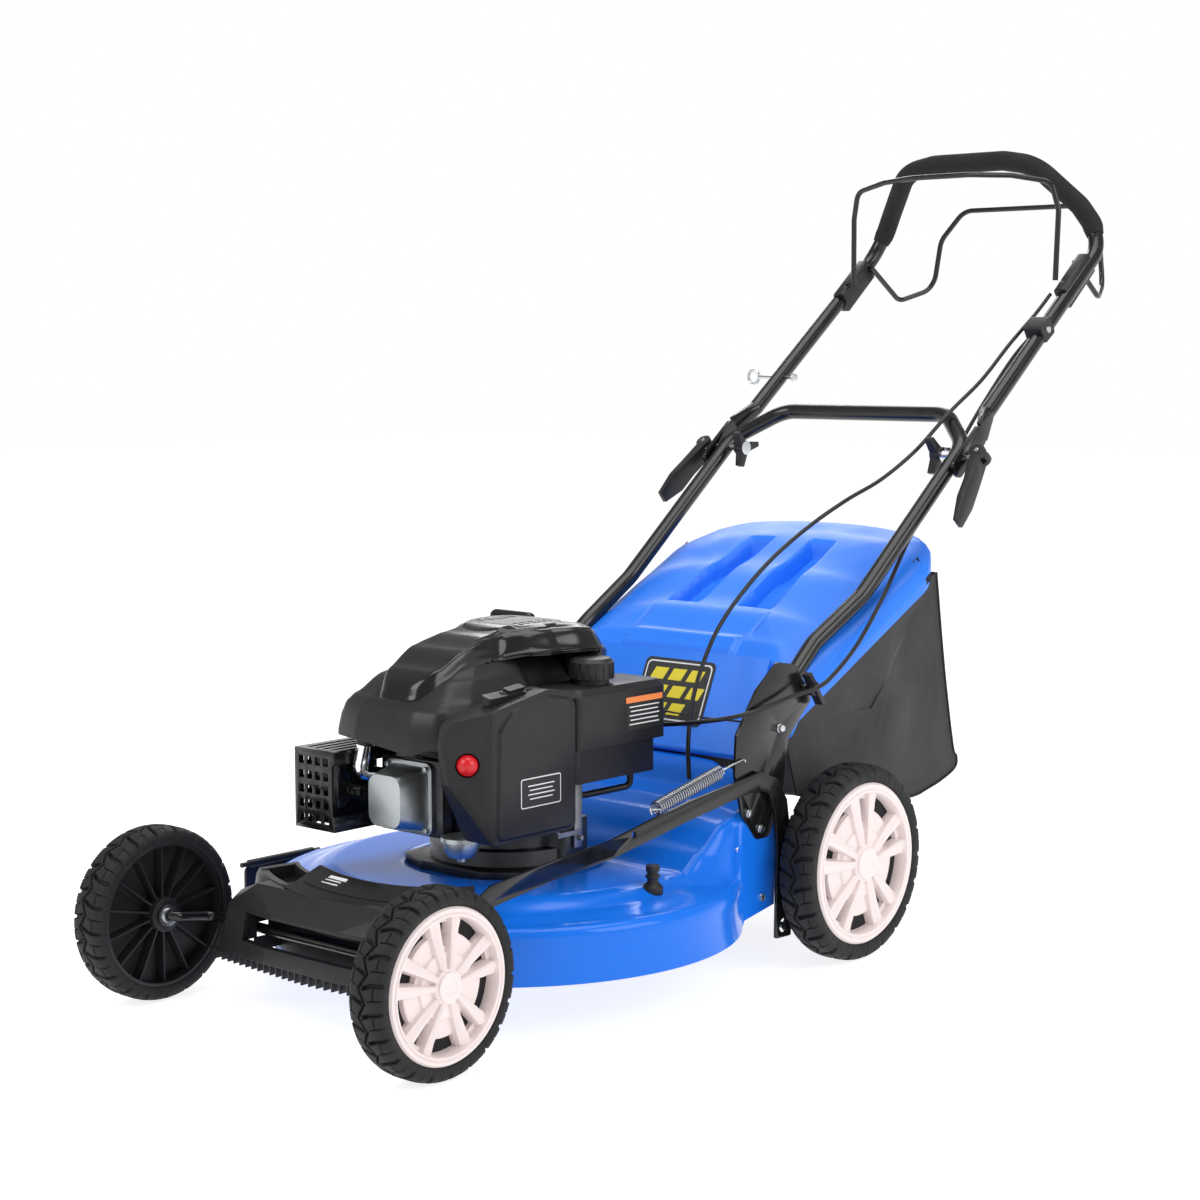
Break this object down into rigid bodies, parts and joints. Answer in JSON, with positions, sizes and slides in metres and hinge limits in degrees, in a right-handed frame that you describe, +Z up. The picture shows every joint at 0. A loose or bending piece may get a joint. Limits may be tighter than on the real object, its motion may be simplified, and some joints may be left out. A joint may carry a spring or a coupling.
{
  "type": "push lawn mower",
  "caption": "Walk-behind petrol rotary mower with a round pressed deck, ribbed wheels, folding tube handle with foam grip and two bails, and a rear grass catcher.",
  "frame": {"origin": "on the ground, below the middle of the bounding box", "axes": "-Y to the front, +Z up, +X to the left hand of a person who walks behind it"},
  "size_m": [0.591, 1.5974, 1.0442],
  "materials": {
    "deck_paint": "glossy blue enamel on pressed steel",
    "lid_plastic": "satin blue moulding with a fine texture",
    "black_plastic": "matte black moulding",
    "gloss_black": "glossy black moulding",
    "black_steel": "satin black enamel",
    "steel": "bright zinc plating",
    "cast_alloy": "raw die casting",
    "cap_plastic": "pale off-white moulding",
    "tyre_rubber": "matte black rubber",
    "foam": "matte closed-cell foam",
    "rubber": "satin black rubber",
    "red_rubber": "satin red rubber",
    "mesh_cloth": "coarse black woven mesh",
    "filter_paper": "pleated paper",
    "blade_steel": "dark enamel, ground edges"
  },
  "bodies": {
    "deck": {"deck_shell": "deck_paint", "front_cover": "black_plastic", "handle_brackets": "black_steel", "deck_fasteners": "steel", "wash_port": "black_plastic", "engine_block": "cast_alloy", "piston": "cast_alloy", "valve_cover": "steel", "spark_plug": "steel", "muffler": "black_steel", "muffler_guard": "black_steel", "carburettor": "cast_alloy", "air_filter_element": "filter_paper", "air_filter_cover": "black_plastic", "engine_shroud": "black_plastic", "top_cover": "gloss_black", "fuel_tank": "black_plastic", "fuel_hose": "rubber", "brake_cable": "rubber", "drive_cable": "rubber", "lower_handle": "black_steel", "clamp_bolts": "steel", "drive_belt": "rubber", "balance_spring": "steel"},
    "crank": {"crankshaft": "steel", "flywheel": "cast_alloy", "blade": "blade_steel"},
    "front_axle_set": {"front_axle": "black_steel"},
    "rear_axle_set": {"rear_axle": "black_steel", "gearbox": "cast_alloy"},
    "link": {"link_bar": "black_steel"},
    "front_left_wheel": {"front_left_tyre": "tyre_rubber", "front_left_rim": "black_plastic", "front_left_hubcap": "cap_plastic"},
    "front_right_wheel": {"front_right_tyre": "tyre_rubber", "front_right_rim": "black_plastic", "front_right_hubcap": "cap_plastic"},
    "rear_left_wheel": {"rear_left_tyre": "tyre_rubber", "rear_left_rim": "black_plastic", "rear_left_hubcap": "cap_plastic"},
    "rear_right_wheel": {"rear_right_tyre": "tyre_rubber", "rear_right_rim": "black_plastic", "rear_right_hubcap": "cap_plastic"},
    "upper_handle_set": {"upper_handle": "black_steel", "foam_grip": "foam", "bail_brackets": "black_plastic", "rope_guide": "steel"},
    "brake_bail_set": {"brake_bail": "black_steel"},
    "drive_bail_set": {"drive_bail": "black_steel"},
    "left_cam_lever": {"cam_lever_left": "black_plastic"},
    "right_cam_lever": {"cam_lever_right": "black_plastic"},
    "catcher": {"catcher_lid": "lid_plastic", "catcher_bag": "mesh_cloth", "catcher_frame": "steel"},
    "rear_flap_set": {"rear_flap": "lid_plastic"},
    "chute_flap_set": {"chute_flap": "black_plastic"},
    "starter": {"starter_grip": "gloss_black"},
    "primer": {"primer_bulb": "red_rubber"},
    "fuel_cap_set": {"fuel_cap": "black_plastic"},
    "dipstick": {"oil_dipstick": "black_plastic"}
  },
  "joints": [
    {"name": "crank_spin", "type": "hinge", "parent": "deck", "child": "crank", "pos_m": [0, -0.34825, 0.12], "axis": [0, 0, 1], "continuous": true},
    {"name": "front_axle_tilt", "type": "hinge", "parent": "deck", "child": "front_axle_set", "pos_m": [0, -0.64025, 0.092], "axis": [1, 0, 0], "range_deg": [-15, 15], "deforming": ["balance_spring"]},
    {"name": "rear_axle_tilt", "type": "hinge", "parent": "deck", "child": "rear_axle_set", "pos_m": [0, -0.06925, 0.1125], "axis": [1, 0, 0], "range_deg": [-15, 15], "deforming": ["drive_belt"]},
    {"name": "link_level", "type": "hinge", "parent": "front_axle_set", "child": "link", "pos_m": [0, -0.60425, 0.152], "axis": [1, 0, 0], "range_deg": [-15, 15]},
    {"name": "front_left_wheel_spin", "type": "hinge", "parent": "front_axle_set", "child": "front_left_wheel", "pos_m": [0.2315, -0.69725, 0.1015], "axis": [1, 0, 0], "continuous": true},
    {"name": "front_right_wheel_spin", "type": "hinge", "parent": "front_axle_set", "child": "front_right_wheel", "pos_m": [-0.2315, -0.69725, 0.1015], "axis": [1, 0, 0], "continuous": true},
    {"name": "rear_left_wheel_spin", "type": "hinge", "parent": "rear_axle_set", "child": "rear_left_wheel", "pos_m": [0.2695, -0.01225, 0.122], "axis": [1, 0, 0], "continuous": true},
    {"name": "rear_right_wheel_spin", "type": "hinge", "parent": "rear_axle_set", "child": "rear_right_wheel", "pos_m": [-0.2695, -0.01225, 0.122], "axis": [1, 0, 0], "continuous": true},
    {"name": "handle_fold", "type": "hinge", "parent": "deck", "child": "upper_handle_set", "pos_m": [0, 0.32275, 0.612], "axis": [1, 0, 0], "range_deg": [0, 150], "deforming": ["brake_cable", "drive_cable"]},
    {"name": "brake_bail_pull", "type": "hinge", "parent": "upper_handle_set", "child": "brake_bail_set", "pos_m": [0, 0.60675, 0.852], "axis": [1, 0, 0], "range_deg": [-17, 0], "stiffness_Nm_per_rad": 1.2, "springref_deg": 34.38},
    {"name": "drive_bail_pull", "type": "hinge", "parent": "upper_handle_set", "child": "drive_bail_set", "pos_m": [0, 0.65575, 0.88], "axis": [1, 0, 0], "range_deg": [0, 45], "stiffness_Nm_per_rad": 1.2, "springref_deg": -34.38},
    {"name": "left_cam_release", "type": "hinge", "parent": "deck", "child": "left_cam_lever", "pos_m": [0.235, 0.32275, 0.612], "axis": [0, -0.7771, 0.6293], "range_deg": [0, 95]},
    {"name": "right_cam_release", "type": "hinge", "parent": "deck", "child": "right_cam_lever", "pos_m": [-0.235, 0.32275, 0.612], "axis": [0, 0.6428, -0.766], "range_deg": [0, 95]},
    {"name": "catcher_lift_off", "type": "slide", "parent": "deck", "child": "catcher", "axis": [0, 1, 0], "range_m": [0, 0.6]},
    {"name": "rear_flap_swing", "type": "hinge", "parent": "deck", "child": "rear_flap_set", "pos_m": [0, -0.08725, 0.249], "axis": [1, 0, 0], "range_deg": [0, 45], "stiffness_Nm_per_rad": 1, "springref_deg": -45.84},
    {"name": "chute_flap_swing", "type": "hinge", "parent": "deck", "child": "chute_flap_set", "pos_m": [-0.289, -0.45625, 0.118], "axis": [0, 1, 0], "range_deg": [0, 60], "stiffness_Nm_per_rad": 0.2, "springref_deg": -28.65},
    {"name": "starter_pull", "type": "slide", "parent": "deck", "child": "starter", "axis": [0, 0, 1], "range_m": [0, 0.08], "stiffness_N_per_m": 60, "springref_m": -0.05},
    {"name": "primer_press", "type": "slide", "parent": "deck", "child": "primer", "axis": [-0.7771, 0.6293, 0], "range_m": [0, 0.006], "stiffness_N_per_m": 1500, "springref_m": -0.001},
    {"name": "fuel_cap_twist", "type": "hinge", "parent": "deck", "child": "fuel_cap_set", "pos_m": [0.1, -0.30525, 0.37], "axis": [0, 0, 1], "range_deg": [0, 90]},
    {"name": "dipstick_twist", "type": "hinge", "parent": "deck", "child": "dipstick", "pos_m": [-0.084, -0.30825, 0.16], "axis": [0, 0, 1], "range_deg": [0, 180]}
  ],
  "couplings": [
    {"joint": "rear_axle_tilt", "follows": "front_axle_tilt", "ratio": -1},
    {"joint": "link_level", "follows": "front_axle_tilt", "ratio": -1}
  ]
}
